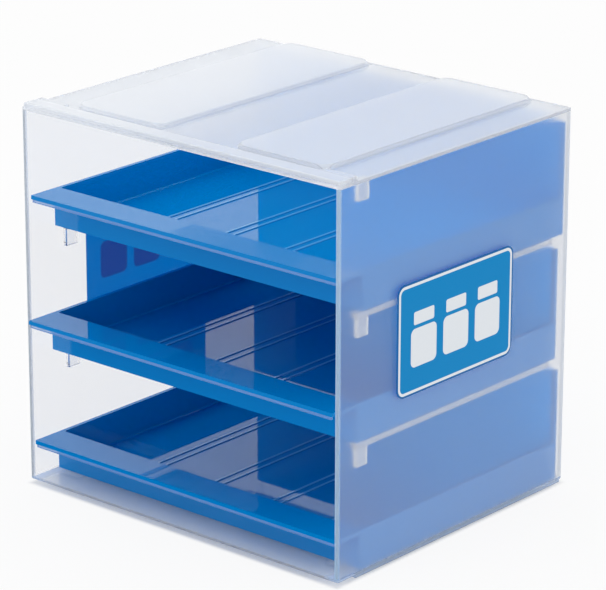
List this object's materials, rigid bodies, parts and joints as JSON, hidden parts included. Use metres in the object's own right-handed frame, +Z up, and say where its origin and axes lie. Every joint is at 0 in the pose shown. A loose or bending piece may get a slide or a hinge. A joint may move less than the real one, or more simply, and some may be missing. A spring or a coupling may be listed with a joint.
{
  "type": "paint storage rack",
  "caption": "Clear open-front case with blue jar trays that slide out on side runners as far as stop blocks, and stacking pads and foot rails.",
  "frame": {"origin": "on the surface that the rack stands on, under the middle of the case", "axes": "+Z up, the open front faces -Y, +X to the right seen from the front"},
  "size_m": [0.2004, 0.1741, 0.1962],
  "materials": {
    "clear_plastic": "clear, slightly hazy moulded plastic",
    "blue_plastic": "high gloss moulded plastic",
    "label_film": "printed plastic film"
  },
  "bodies": {
    "case": {"base_panel": "clear_plastic", "top_cover": "clear_plastic", "left_wall": "clear_plastic", "right_wall": "clear_plastic", "back_panel": "clear_plastic", "upper_runner_left": "clear_plastic", "middle_runner_left": "clear_plastic", "upper_runner_right": "clear_plastic", "middle_runner_right": "clear_plastic", "upper_stop_left": "clear_plastic", "middle_stop_left": "clear_plastic", "lower_stop_left": "clear_plastic", "upper_stop_right": "clear_plastic", "middle_stop_right": "clear_plastic", "lower_stop_right": "clear_plastic", "side_label_left": "label_film", "side_label_right": "label_film"},
    "upper_drawer": {"upper_tray": "blue_plastic", "upper_lip_strip": "clear_plastic"},
    "middle_drawer": {"middle_tray": "blue_plastic", "middle_lip_strip": "clear_plastic"},
    "lower_drawer": {"lower_tray": "blue_plastic", "lower_lip_strip": "clear_plastic"}
  },
  "joints": [
    {"name": "upper_tray_slide", "type": "slide", "parent": "case", "child": "upper_drawer", "axis": [0, -1, 0], "range_m": [0, 0.1358]},
    {"name": "middle_tray_slide", "type": "slide", "parent": "case", "child": "middle_drawer", "axis": [0, -1, 0], "range_m": [-0.0036, 0.1322]},
    {"name": "lower_tray_slide", "type": "slide", "parent": "case", "child": "lower_drawer", "axis": [0, -1, 0], "range_m": [-0.001, 0.1348]}
  ]
}
